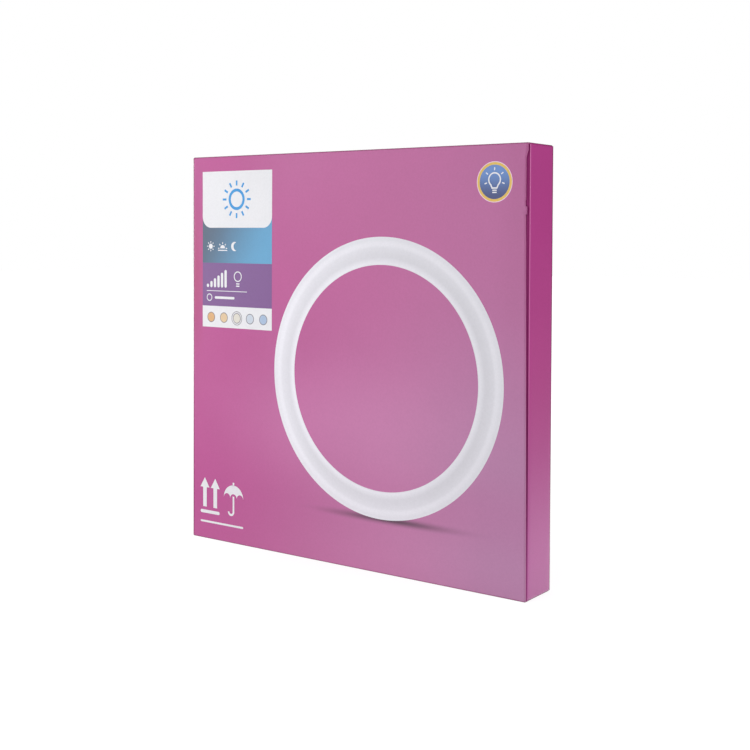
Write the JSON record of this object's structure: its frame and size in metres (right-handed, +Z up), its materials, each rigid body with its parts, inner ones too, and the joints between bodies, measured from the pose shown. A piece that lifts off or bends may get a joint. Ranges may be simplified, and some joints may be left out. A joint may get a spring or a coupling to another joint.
{
  "type": "retail carton",
  "caption": "Slim square closed carton for a ring lamp, with a tuck flap at each end; it packs, protects and displays the lamp upright.",
  "frame": {"origin": "centre of the base, the long narrow bottom panel that the carton stands on", "axes": "+Z up, the printed front panel faces -Y, the visible tuck end is at +X"},
  "size_m": [0.312, 0.035, 0.312],
  "materials": {
    "printed_board": "smooth board with an even pink print under a gloss varnish",
    "white_print": "white field of the print, under the same gloss varnish",
    "blue_print": "blue field of the print, under the same gloss varnish",
    "purple_print": "purple field of the print, under the same gloss varnish"
  },
  "bodies": {
    "root": {"carton": "printed_board"}
  },
  "joints": []
}
